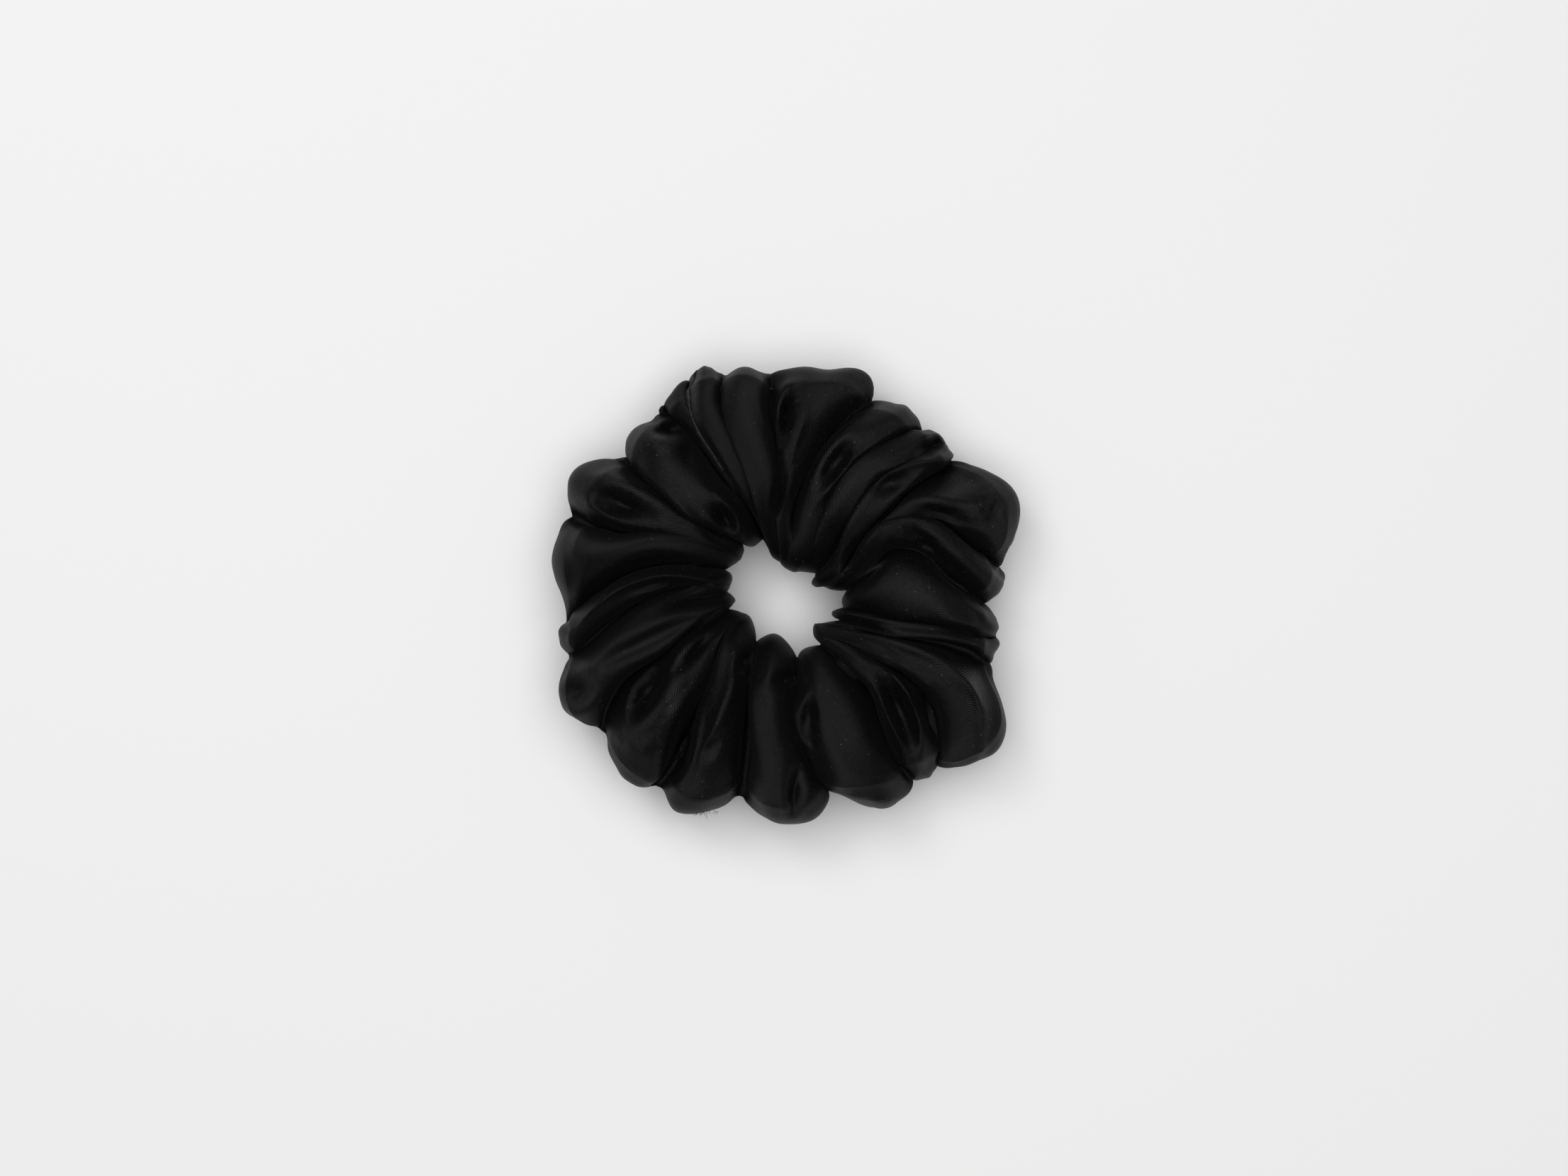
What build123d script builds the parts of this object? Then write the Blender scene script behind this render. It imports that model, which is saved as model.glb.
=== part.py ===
from build123d import *
import os
from math import cos, radians, sin

# A gathered satin scrunchie lying flat. Millimetres, +Z up, origin on the table under the middle of
# the hole. The closed hoop is made as two halves that meet on the plane y = 0, so that the front
# half can be drawn away from the back half as the elastic stretches.

# Cover, where the lobes are fullest
outer_radius = 55.0
hole_radius = 12.0
cover_height = 30.0
wall = 0.8
lobe_corner = 12.0

# How deep the hole rounds off a lobe's nose, and the table flattens its foot
nose_trim = 1.6
foot_trim = 0.4

# Cover, in the creases between two lobes
neck_outer_radius = 48.5
neck_height = 18.0
neck_corner = 6.0

# Where a lobe's cross-sections stand, as shares of its angle, and how full each one is
lobe_sections = [(0.22, 0.72), (0.4, 1.0), (0.6, 1.0), (0.78, 0.72), (1.0, 0.0)]

# How far each lobe stands out past the outer radius, counter-clockwise from +X and from -X
back_lobe_reach = [1.0, 3.0, -2.0, 1.5, 0.0, 1.0, -2.5, 2.0, 1.0]
front_lobe_reach = [-1.0, 2.0, 3.0, 0.0, 0.0, 1.5, 0.5, 4.5, -1.0]

# Flat elastic inside the cover, its two ends lapped and sewn
elastic_radius = 24.0
elastic_thickness = 1.0
elastic_width = 6.0
lap_start = 112.0
lap_end = 136.0
lap_gap = 0.1
step_length = 14.0
elastic_clearance = 0.3

# Threads
thread_diameter = 0.4
bartack_stitches = 5
seam_stitches_per_lobe = 5
seam_stitch_gap = 0.9
seam_clearance = 0.3
closing_seam_lobe = 6
closing_stitches = 7
closing_stitch_length = 3.0

# Worked out from the sizes above
half_turn = 180.0
mid_height = cover_height / 2
neck_low = mid_height - neck_height / 2
neck_high = mid_height + neck_height / 2
elastic_inner_radius = elastic_radius - elastic_thickness / 2
neck_inner_radius = elastic_inner_radius - elastic_clearance - wall
lap_radius = elastic_radius + elastic_thickness + lap_gap
lobe_angle = half_turn / len(back_lobe_reach)

os.makedirs("parts", exist_ok=True)


def polar(radius, angle, height=0.0):
    return Vector(radius * cos(radians(angle)), radius * sin(radians(angle)), height)


def radial_plane(angle):
    """A standing plane through the Z axis: local x runs outwards and local y runs up."""
    return Plane(origin=(0, 0, 0), x_dir=polar(1, angle), z_dir=polar(1, angle - 90))


def cover_section(angle, fullness, reach, nose, foot, inset):
    """The cover's rounded cross-section, from a neck (fullness 0) to a lobe's ridge (fullness 1)."""
    inner = neck_inner_radius + (nose - neck_inner_radius) * fullness + inset
    outer = neck_outer_radius + (outer_radius + reach - neck_outer_radius) * fullness - inset
    low = neck_low + (foot - neck_low) * fullness + inset
    high = neck_high + (cover_height - neck_high) * fullness - inset
    corner = neck_corner + (lobe_corner - neck_corner) * fullness - inset
    with BuildSketch(radial_plane(angle)) as section:
        with Locations(((inner + outer) / 2, (low + high) / 2)):
            RectangleRounded(outer - inner, high - low, corner)
    return section.sketch


def lobe_row(start_angle, lobe_reach, nose, foot, inset):
    """The cross-sections of a row of lobes, pinched to a neck between each two."""
    row = [cover_section(start_angle, 0, 0, nose, foot, inset)]
    for count, reach in enumerate(lobe_reach):
        first = start_angle + count * lobe_angle
        for share, fullness in lobe_sections:
            row.append(cover_section(first + share * lobe_angle, fullness, reach, nose, foot, inset))
    return row


def gathered_half(start_angle, lobe_reach):
    """Half of the cover: a thin hollow row of lobes, trimmed by the hole and by the table."""
    with BuildPart() as half:
        loft(lobe_row(start_angle, lobe_reach, hole_radius - nose_trim, -foot_trim, 0), ruled=True)
        with Locations((0, 0, mid_height)):
            Cylinder(hole_radius, 2 * cover_height, mode=Mode.SUBTRACT)
        split(bisect_by=Plane.XY, keep=Keep.TOP)
        loft(lobe_row(start_angle, lobe_reach, hole_radius, 0, wall), ruled=True, mode=Mode.SUBTRACT)
    return half


def lobe_edge(first_angle, reach, share, inset):
    """A point on the straight-sided outer edge of a lobe at mid height, moved inwards by the inset."""
    before, low_fullness = 0.0, 0.0
    for after, high_fullness in lobe_sections:
        if share <= after:
            break
        before, low_fullness = after, high_fullness
    ends = []
    for place, fullness in ((before, low_fullness), (after, high_fullness)):
        radius = neck_outer_radius + (outer_radius + reach - neck_outer_radius) * fullness - inset
        ends.append(polar(radius, first_angle + place * lobe_angle, mid_height))
    along = (share - before) / (after - before)
    return ends[0] * (1 - along) + ends[1] * along


def long_seam_thread(start_angle, lobe_reach):
    """The stitches of the cover's lengthwise seam, inside the outer edge of each lobe."""
    inset = wall + seam_clearance + thread_diameter
    pitch = 1 / (seam_stitches_per_lobe + 1)
    with BuildPart() as thread:
        for count, reach in enumerate(lobe_reach):
            first = start_angle + count * lobe_angle
            for stitch in range(seam_stitches_per_lobe):
                middle = (stitch + 1) * pitch
                near = lobe_edge(first, reach, middle - pitch / 2, inset)
                far = lobe_edge(first, reach, middle + pitch / 2, inset)
                run = far - near
                start = near + run.normalized() * (seam_stitch_gap / 2)
                with BuildSketch(Plane(origin=start, z_dir=run)):
                    Circle(thread_diameter / 2)
                extrude(amount=run.length - seam_stitch_gap)
    return thread


def elastic_band(path):
    """A flat standing band along a plan path."""
    with BuildPart() as band:
        with BuildSketch(Plane.XY.offset(mid_height - elastic_width / 2)):
            trace(path, elastic_thickness)
        extrude(amount=elastic_width)
    return band


# Cover
cover_back = gathered_half(0, back_lobe_reach)
cover_back.part.label = "cover_back"
export_step(cover_back.part, "parts/cover_back.step")

cover_front = gathered_half(half_turn, front_lobe_reach)
cover_front.part.label = "cover_front"
export_step(cover_front.part, "parts/cover_front.step")

# Elastic: the front arc, then the two ends that lap in the back half
with BuildLine() as front_arc:
    CenterArc((0, 0), elastic_radius, half_turn, half_turn)
elastic_front = elastic_band(front_arc.line)
elastic_front.part.label = "elastic_front"
export_step(elastic_front.part, "parts/elastic_front.step")

with BuildLine() as inner_path:
    CenterArc((0, 0), elastic_radius, 0, lap_end)
elastic_inner_end = elastic_band(inner_path.line)
elastic_inner_end.part.label = "elastic_inner_end"
export_step(elastic_inner_end.part, "parts/elastic_inner_end.step")

step_end = lap_end + step_length
with BuildLine() as outer_path:
    CenterArc((0, 0), lap_radius, lap_start, lap_end - lap_start)
    Spline(
        polar(lap_radius, lap_end),
        polar(elastic_radius, step_end),
        tangents=(polar(1, lap_end + 90), polar(1, step_end + 90)),
    )
    CenterArc((0, 0), elastic_radius, step_end, half_turn - step_end)
elastic_outer_end = elastic_band(outer_path.line)
elastic_outer_end.part.label = "elastic_outer_end"
export_step(elastic_outer_end.part, "parts/elastic_outer_end.step")

# Bartack: a row of stitches through both lapped ends of the elastic
bartack_length = 2 * elastic_thickness + lap_gap + 2 * thread_diameter
with BuildPart() as elastic_bartack_thread:
    for stitch in range(bartack_stitches):
        share = (stitch + 1) / (bartack_stitches + 1)
        height = mid_height - elastic_width / 2 + elastic_width * share
        start = polar(elastic_inner_radius - thread_diameter / 2, (lap_start + lap_end) / 2, height)
        with BuildSketch(Plane(origin=start, z_dir=polar(1, (lap_start + lap_end) / 2))):
            Circle(thread_diameter / 2)
        extrude(amount=bartack_length)
elastic_bartack_thread.part.label = "elastic_bartack_thread"
export_step(elastic_bartack_thread.part, "parts/elastic_bartack_thread.step")

# Lengthwise seam of the cover
long_seam_thread_back = long_seam_thread(0, back_lobe_reach)
long_seam_thread_back.part.label = "long_seam_thread_back"
export_step(long_seam_thread_back.part, "parts/long_seam_thread_back.step")

long_seam_thread_front = long_seam_thread(half_turn, front_lobe_reach)
long_seam_thread_front.part.label = "long_seam_thread_front"
export_step(long_seam_thread_front.part, "parts/long_seam_thread_front.step")

# Closing seam: stitches across the top of one crease, where the cover's two ends are sewn together
closing_angle = closing_seam_lobe * lobe_angle
stitch_span = neck_outer_radius - neck_inner_radius - 2 * neck_corner
with BuildPart() as closing_seam_thread:
    for stitch in range(closing_stitches):
        radius = neck_inner_radius + neck_corner + stitch_span * stitch / (closing_stitches - 1)
        middle = polar(radius, closing_angle, neck_high)
        across = polar(1, closing_angle + 90)
        with BuildSketch(Plane(origin=middle - across * (closing_stitch_length / 2), z_dir=across)):
            Circle(thread_diameter / 2)
        extrude(amount=closing_stitch_length)
closing_seam_thread.part.label = "closing_seam_thread"
export_step(closing_seam_thread.part, "parts/closing_seam_thread.step")
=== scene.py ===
import math
import bpy
import bmesh
import numpy as np
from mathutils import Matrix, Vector


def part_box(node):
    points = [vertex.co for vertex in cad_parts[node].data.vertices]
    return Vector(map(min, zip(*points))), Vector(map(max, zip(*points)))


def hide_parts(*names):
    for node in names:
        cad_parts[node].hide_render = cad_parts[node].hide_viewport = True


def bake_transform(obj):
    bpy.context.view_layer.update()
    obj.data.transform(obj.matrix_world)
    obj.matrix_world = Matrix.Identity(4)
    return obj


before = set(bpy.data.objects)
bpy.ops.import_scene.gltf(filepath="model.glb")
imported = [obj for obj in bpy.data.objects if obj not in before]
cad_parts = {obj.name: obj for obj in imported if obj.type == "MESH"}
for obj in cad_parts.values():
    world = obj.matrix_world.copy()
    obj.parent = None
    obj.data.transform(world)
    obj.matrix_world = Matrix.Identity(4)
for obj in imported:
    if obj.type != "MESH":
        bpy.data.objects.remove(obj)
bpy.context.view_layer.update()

# A gathered satin scrunchie lying flat. Shapes are worked out in millimetres.
MM = 0.001

# The cover: a tube of satin, 116 mm round and 520 mm long, gathered on the elastic
STRIP_LENGTH = 520
TUBE_GIRTH = 116
SATIN_THICKNESS = 0.25
MID_HEIGHT = 14.2

# How finely the tube is divided: round it, and along a fold of the usual span (degrees)
TUBE_ROWS = 64
POINTS_PER_FOLD = 34
LEAST_POINTS = 18
USUAL_SPAN = 17
EVEN_SHARE = 0.6

# The row of the tube that its lengthwise seam and pressed edge follow
SEAM_ROW = TUBE_ROWS // 9

# The creases between the folds, counter-clockwise. Each has its course over the top from the outer
# edge to the hole as (radius, angle), the outer radius it pinches the hoop to, and how deep it is at
# the outer edge, over the middle and at the hole. The fold that follows it reaches out to its rim
# (near the crease, in the middle, near the next crease), and has a height and a lean to one side.
FOLDS = [
    dict(crease=[(52, -12), (45, -14), (36, -14), (27, -17), (17, -17), (13, -20)],
         pinch=51.6, depth=(1.0, 0.9, 0.9), rim=(52, 51.8, 51), height=29.5, lean=-1.5),
    dict(crease=[(52, -4), (47, -3), (39, 5), (35, 16), (28, 24), (21, 15), (14, 4)],
         pinch=46.8, depth=(1.0, 0.8, 0.0), rim=(50.5, 51.8, 51.8), height=29.0, lean=2.6),
    dict(crease=[(52, 6), (45, 15), (40, 26), (35, 30), (28, 32), (21, 28), (14, 10)],
         pinch=50.8, depth=(1.0, 1.0, 0.6), rim=(55.5, 59.6, 58.2), height=27.0, lean=-0.5),
    dict(crease=[(52, 38), (44, 39), (37, 39), (31, 36), (24, 35), (18, 26), (13, 12)],
         pinch=50.6, depth=(1.0, 0.9, 0.5), rim=(52, 52.4, 52.6), height=27.5, lean=1.0),
    dict(crease=[(51, 42), (42, 45), (34, 50), (27, 48), (19, 42), (12, 26)],
         pinch=51.6, depth=(0.5, 0.8, 0.5), rim=(53.2, 53.4, 52.4), height=28.5, lean=1.2),
    dict(crease=[(51, 49), (45, 54), (38, 59), (32, 61), (24, 63), (17, 63), (12, 56)],
         pinch=50.8, depth=(1.0, 1.0, 0.6), rim=(52.4, 53, 52), height=28.0, lean=-1.5),
    dict(crease=[(50, 65), (45, 69), (39, 73), (32, 78), (25, 82), (19, 84), (13, 80)],
         pinch=49.2, depth=(1.0, 1.0, 0.3), rim=(58.6, 54.8, 53.2), height=27.5, lean=1.0),
    dict(crease=[(52, 93), (44, 94), (36, 92), (29, 88), (23, 91), (16, 94)],
         pinch=51.8, depth=(0.9, 1.0, 0.6), rim=(53.2, 54.4, 53.4), height=30.0, lean=2.2),
    dict(crease=[(56, 104.8), (51, 106), (46, 108), (38, 107), (30, 105), (23, 103), (15, 103)],
         pinch=53.2, depth=(0.7, 0.15, 0.0), rim=(55.5, 57.4, 57.4), height=27.5, lean=0.6),
    dict(crease=[(57, 111.5), (49, 116.5), (42, 116), (30, 114), (23, 110), (15, 108)],
         pinch=54.0, depth=(1.2, 1.1, 0.9), rim=(55.6, 54.6, 53.4), height=21.0, lean=-0.6),
    dict(crease=[(52, 124), (47, 121), (42, 119), (30, 117), (23, 113), (15, 111)],
         pinch=51.8, depth=(1.0, 0.5, 0.2), rim=(52.8, 51.8, 51.4), height=29.5, lean=1.8),
    dict(crease=[(50, 140), (44, 140), (37, 141), (28, 143), (21, 139), (15, 132)],
         pinch=48.8, depth=(1.1, 1.0, 0.8), rim=(55.5, 57.4, 56.9), height=27.5, lean=0.6),
    dict(crease=[(53, 160), (46, 161), (39, 160), (35, 155), (31, 152), (23, 147), (14, 142)],
         pinch=52.8, depth=(1.0, 0.9, 0.8), rim=(56.8, 54.8, 52.4), height=28.5, lean=-1.5),
    dict(crease=[(51, 188), (47, 183), (40, 177), (33, 171), (26, 166), (17, 160), (13, 157)],
         pinch=51.8, depth=(1.0, 0.9, 0.8), rim=(54, 54.6, 54), height=28.0, lean=-0.8),
    dict(crease=[(53, 197), (46, 193), (38, 187), (30, 180), (22, 175), (13, 172)],
         pinch=53.2, depth=(0.9, 0.8, 0.8), rim=(56.4, 58.7, 57.2), height=29.0, lean=1.8),
    dict(crease=[(54, 217), (49, 212), (42, 208), (32, 207), (25, 201), (13, 192)],
         pinch=54.4, depth=(1.0, 0.9, 0.9), rim=(55.5, 58, 59.6), height=27.5, lean=1.2),
    dict(crease=[(55, 237), (48, 238), (38, 236), (26, 230), (20, 220), (14, 210)],
         pinch=54.8, depth=(1.0, 1.1, 0.9), rim=(57.2, 56.9, 51.2), height=28.0, lean=-1.0),
    dict(crease=[(50, 259), (38, 258), (28, 255), (19, 248), (13, 240)],
         pinch=49.2, depth=(1.1, 1.0, 0.9), rim=(54.2, 55.6, 54.4), height=29.5, lean=-1.6),
    dict(crease=[(50, 284), (40, 279), (31, 274), (26, 274), (21, 279), (16, 283)],
         pinch=47.4, depth=(1.1, 1.0, 0.9), rim=(51.4, 55.8, 58.6), height=29.0, lean=-1.2),
    dict(crease=[(54, 305), (48, 304), (39, 307), (32, 313), (24, 313), (17, 310), (13, 305)],
         pinch=54.0, depth=(0.9, 0.9, 0.8), rim=(55, 55.6, 55.4), height=28.0, lean=-1.2),
    dict(crease=[(54, 312), (50, 318), (44, 324), (37, 327), (31, 328), (20, 325), (15, 316)],
         pinch=54.6, depth=(0.9, 0.8, 0.7), rim=(61.8, 63.2, 56.6), height=27.0, lean=-1.0),
    dict(crease=[(52, 341), (47, 343), (40, 343), (32, 341), (23, 336), (16, 331), (12, 322)],
         pinch=51.6, depth=(0.8, 0.8, 0.8), rim=(52.8, 52.6, 52.3), height=28.5, lean=0.8),
]

# The blunt noses round the hole, clockwise from the top: each runs between two angles, starts from
# a dent of the first radius and stands in to the second
NOSES = [
    (110, 32, 13.6, 5.4), (32, 1, 9.4, 7.2), (1, -14, 15.8, 14.2), (-14, -30, 15.2, 12.6),
    (-30, -56, 15.8, 10.6), (-56, -77, 15.6, 14.2), (-77, -118, 16.2, 9.8), (-118, -164, 13.8, 9.5),
    (-164, -182, 13.6, 11.2), (-182, -203, 13.2, 12.2), (-203, -233, 14.8, 12.6), (-233, -250, 15.6, 12.8),
]

# Hollows pressed into the top, each with a rolled rim: middle (x, y), half length and half width,
# the way it runs (degrees) and its depth
HOLLOWS = [
    ((0.9, 41.6), 4.4, 1.5, 84, 6.5),
    ((-1.2, 22.0), 3.0, 1.3, 80, 3.0),
    ((12.6, 30.4), 5.0, 1.9, 60, 4.5),
    ((35.4, 34.6), 3.2, 1.8, 30, 4.5),
    ((24.8, 25.8), 3.4, 1.4, -16, 4.5),
    ((16.0, 8.6), 3.2, 1.5, 62, 3.5),
    ((39.5, 18.6), 5.6, 1.8, -14, 3.2),
    ((33.4, 12.0), 5.4, 1.3, -50, 6.0),
    ((-13.4, 17.4), 2.8, 1.8, -50, 5.0),
    ((-26.6, 38.2), 3.8, 1.5, 16, 4.5),
    ((-37.0, 20.6), 6.2, 2.8, -14, 5.0),
    ((-30.0, 2.0), 3.4, 1.0, 16, 2.4),
    ((-24.2, -35.0), 6.8, 2.4, 76, 7.5),
    ((-31.4, -23.4), 5.6, 2.6, 64, 6.0),
    ((-16.6, -36.6), 2.8, 1.4, 50, 4.0),
    ((-9.6, -16.6), 2.4, 1.4, 50, 4.0),
    ((0.2, -20.4), 3.0, 1.4, 8, 4.2),
    ((2.8, -45.6), 5.4, 1.6, 84, 3.2),
    ((6.2, -29.6), 4.2, 1.4, 80, 4.2),
    ((27.4, -27.4), 7.6, 2.2, -68, 7.5),
    ((34.4, -29.4), 6.4, 1.3, -76, 4.5),
    ((-47.6, -23.0), 4.4, 3.0, 40, 3.0),
    ((48.6, 18.4), 3.6, 1.8, 60, 2.4),
    ((-21.0, -14.4), 4.6, 1.4, 46, 3.2),
    ((-48.5, 6.0), 4.4, 1.8, 84, 1.6),
]

# Finer folds drawn across the top as (x, y) courses, with their width and height: a negative height
# is a sharp groove, a positive one a rolled ridge
DRAWN_FOLDS = [
    ([(-51, -10), (-38, 1), (-25, 4), (-13, 0)], 1.3, 1.8),
    ([(-50, -7), (-37, 5), (-24, 7), (-14, 4)], 1.2, -1.4),
    ([(-43, -17), (-31, -11), (-15, -4)], 1.4, -2.0),
    ([(-19, -9), (-24, -17), (-26, -28), (-28, -38)], 1.5, 2.4),
    ([(-13, -12), (-11, -19), (-15, -30), (-18, -38)], 1.4, 2.0),
    ([(-21, -41), (-17, -38), (-15, -33)], 1.2, 1.6),
    ([(-5.5, 50), (-2.6, 39), (1.5, 31), (1.5, 23)], 1.3, 2.2),
    ([(3.4, 45), (4.6, 40), (2.6, 34)], 1.1, 1.8),
    ([(18, 41), (12, 36), (6, 26)], 1.2, 1.6),
    ([(31, 40), (17, 31), (8, 21)], 1.2, 1.4),
    ([(40, 36), (36, 31), (25, 28.5), (17, 19), (10, 10)], 1.4, 2.2),
    ([(35, 29), (27, 22), (20, 12), (14, 4)], 1.3, 1.8),
    ([(27, 19.6), (36, 21.4), (43.6, 17.4), (47.6, 21), (46, 25)], 1.3, 2.0),
    ([(29.6, 17.4), (39.8, 15), (50, 8)], 1.2, 1.2),
    ([(31, 14), (40, 3), (50, -10)], 1.2, 1.5),
    ([(17, -5), (28, -8), (40, -9), (50, -12)], 1.0, -1.2),
    ([(15, -8.6), (30, -12.6), (43, -19)], 1.3, 1.8),
    ([(33.4, -22), (38.5, -19.6), (45.6, -24), (47, -37), (48.5, -41)], 1.0, 1.8),
    ([(19, -12), (26, -20), (27, -34), (32, -42)], 1.2, 1.4),
    ([(32.4, -19.6), (34, -30), (36.5, -37)], 1.2, 1.8),
    ([(2.2, -25), (3.6, -33), (9, -44)], 1.4, 2.0),
    ([(7, -44), (17, -48.4), (28, -49)], 0.9, 1.2),
    ([(-42, -31), (-37, -35), (-29, -37)], 0.9, 1.2),
    ([(-47, 13), (-48, 6), (-46, 0)], 0.9, 1.2),
    ([(-33, 28), (-25, 21), (-18, 13)], 1.4, 2.2),
    ([(-46, 27), (-38, 26), (-28, 20)], 1.6, 1.4),
    ([(-34, 35), (-26, 34.4), (-21, 38)], 1.4, 2.0),
    ([(-20, 22), (-14, 22), (-10.6, 15)], 1.3, 1.8),
    ([(-24, 41), (-22, 36), (-23, 29)], 1.2, -1.4),
]

# How deep a crease of depth 1 sinks from above, the share of that it sinks from below, and how far a
# fold bulges over the creases beside it, but for a share that the hole side leaves out
CREASE_DEPTH = 14.5
UNDERSIDE_SHARE = 0.85
OVERHANG = 1.6
OVERHANG_CALM = 0.8

# How bluntly a fold, its rim, a nose and the tube's own section turn: the lower, the blunter
FOLD_BLUNTNESS = 0.85
RIM_BLUNTNESS = 0.5
NOSE_BLUNTNESS = 0.55
SECTION_BLUNTNESS = 0.86

# Where a fold's three rims stand along it, and a crease's three depths from the outer edge inwards
RIM_PLACES = (0.15, 0.5, 0.85)
RIM_FROM, RIM_TO = 0.1, 0.9
DEPTH_PLACES = (0.1, 0.5, 0.9)

# The hole side of the tube: where it starts and how fast it sets in, as shares of the way inwards,
# how much the dents beside the noses rule there, and the radius at which a nose is placed
HOLE_SIDE_START = 0.6
HOLE_SIDE_SPAN = 0.3
HOLE_SIDE_RULE = 0.75
NOSE_RADIUS = 13.0

# How far the tube rolls on the elastic, in degrees
TUBE_ROLL = 7
ROLL_SEED, ROLL_WAVES = 3, (9, 1)

# How far above the middle the upper side sets in fully
UPPER_RISE = 5

# How strongly the hollows are pressed, how steep they are, and their rolled rims
HOLLOW_STRENGTH = 1.6
HOLLOW_REACH, HOLLOW_STEEPNESS = 1.15, 1.35
ROLL_HEIGHT, ROLL_PLACE, ROLL_WIDTH = 0.2, 1.45, 0.4

# How strongly the finer folds are drawn, the steps along one, and the lips beside a groove
DRAWN_STRENGTH = 1.55
DRAWN_STEPS = 61
LIP_HEIGHT, LIP_PLACE = 0.25, 2.2

# Small wrinkles: seed, waves along and round the tube, and height
WRINKLES = [(11, (70, 3), 0.16), (12, (34, 5), 0.42), (13, (26, 9), 0.12)]
WRINKLES_FROM, WRINKLES_OVER = 14, 16
UNDERSIDE_WRINKLES = 1.8

# The pressed edge: rows beside the seam's row, and how far each stands out
PRESSED_ROWS = ((-1, 0.12), (0, 0.5), (1, 0.12))

# The room kept above and below the middle of the elastic, full up to a distance from its radius
ELASTIC_MIDDLE = 15
ELASTIC_ROOM = 4.6
ROOM_RADIUS, ROOM_FLAT, ROOM_SLOPE = 24.4, 2.0, 0.35

# The foot: satin lower than this is pressed flat on the table, to a share of its depth
FOOT_HEIGHT = 0.6
FOOT_GIVE = 0.15
LEAST_HEIGHT = 0.05

# The elastic: one flat strip in a loop, its outer end lapped over its inner end
ELASTIC_RADIUS = 24
ELASTIC_WIDTH = 6
ELASTIC_THICKNESS = 1
ELASTIC_EDGE = 0.18
LAP_START, LAP_END = 112, 136
LAP_GAP = 0.1
SPIN_STEPS = (30, 60, 38)

# Threads: the bartack, the lengthwise seam and the closing seam
THREAD = 0.4
BARTACK_STITCHES = 5
SEAM_STITCHES = 150
SEAM_STITCH_SHARE = 0.62
SEAM_STITCH_BEND = 0.35
SEAM_DEPTH = 2.0
CLOSING_STITCHES = 7
CLOSING_DEPTH = 0.7
CLOSING_ROW, CLOSING_ROWS_APART, CLOSING_REACH = 8, 2, 2

# The fold that the tube's closing seam lies beside, and the raw folded end that laps over it: its
# width, the rows of the tube it runs over, its points along and across, and its ragged edge
CLOSING_FOLD = 9
FOLDED_END_WIDTH = 3.2
FOLDED_END_ROWS = (-7, 17)
FOLDED_END_STEPS, FOLDED_END_ACROSS = 73, 6
FOLDED_END_BASE, FOLDED_END_EDGE = 5, 1
RAGGED, WAVY = 0.22, 0.3
FRAY = 0.09

# The frayed corner of the lengthwise seam, on the outer edge in front
CORNER = (-18.0, -53.5, 17)
CORNER_SPREAD = (1.3, 0.3, 1.4)
CORNER_FIBRES = 22

# Studio
VIEW_WIDTH = 373
CAMERA_HEIGHT = 760
VIEW_CENTRE = (0.4, 1.1)
SENSOR_WIDTH = 36


def smooth_noise(seed, shape, waves):
    """Seeded noise on a grid that closes on itself both ways, with about so many waves each way."""
    values = np.random.default_rng(seed).normal(size=shape)
    spectrum = np.fft.fft2(values)
    rows = np.fft.fftfreq(shape[0], 1 / shape[0])[:, None] / waves[0]
    columns = np.fft.fftfreq(shape[1], 1 / shape[1])[None, :] / waves[1]
    spectrum *= np.exp(-(rows**2 + columns**2))
    field = np.real(np.fft.ifft2(spectrum))
    field -= field.mean()
    return field / field.std()


def crease_angles(fold, radius, turn):
    """The angle of a fold's crease at each radius, in radians."""
    course = sorted(fold["crease"])
    radii = [point[0] for point in course]
    angles = [math.radians(point[1] + turn) for point in course]
    return np.interp(radius, radii, angles)


def nose_at(angle):
    """The hole's edge at an angle (radians): its radius, and how deep the dent there is, 0 to 1."""
    top = NOSES[0][0]
    degrees = (math.degrees(angle) - top) % 360 - 360 + top
    for place, (start, end, dent, tip) in enumerate(NOSES):
        if end <= degrees <= start:
            share = (start - degrees) / (start - end)
            following = NOSES[(place + 1) % len(NOSES)][2]
            edge = dent * (1 - share) + following * share
            full = math.sin(math.pi * share) ** NOSE_BLUNTNESS
            return edge + (tip - edge) * full, 1 - full
    return NOSES[0][2], 1


def fold_steps():
    """The steps along the tube, each with its fold, the next one and the share passed, and where
    each fold starts."""
    steps, starts = [], []
    for index, fold in enumerate(FOLDS):
        following = FOLDS[(index + 1) % len(FOLDS)]
        turn = 360 if index == len(FOLDS) - 1 else 0
        near, far = fold["crease"], following["crease"]
        span = (far[0][1] + turn - near[0][1] + far[2][1] + turn - near[2][1]) / 2
        fullness = EVEN_SHARE + (1 - EVEN_SHARE) * span / USUAL_SPAN
        count = max(LEAST_POINTS, int(POINTS_PER_FOLD * fullness))
        starts.append(len(steps))
        for step in range(count):
            steps.append((fold, following, turn, step / count))
    return steps, starts


def blunted(values, bluntness):
    return np.sign(values) * np.abs(values) ** bluntness


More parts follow.
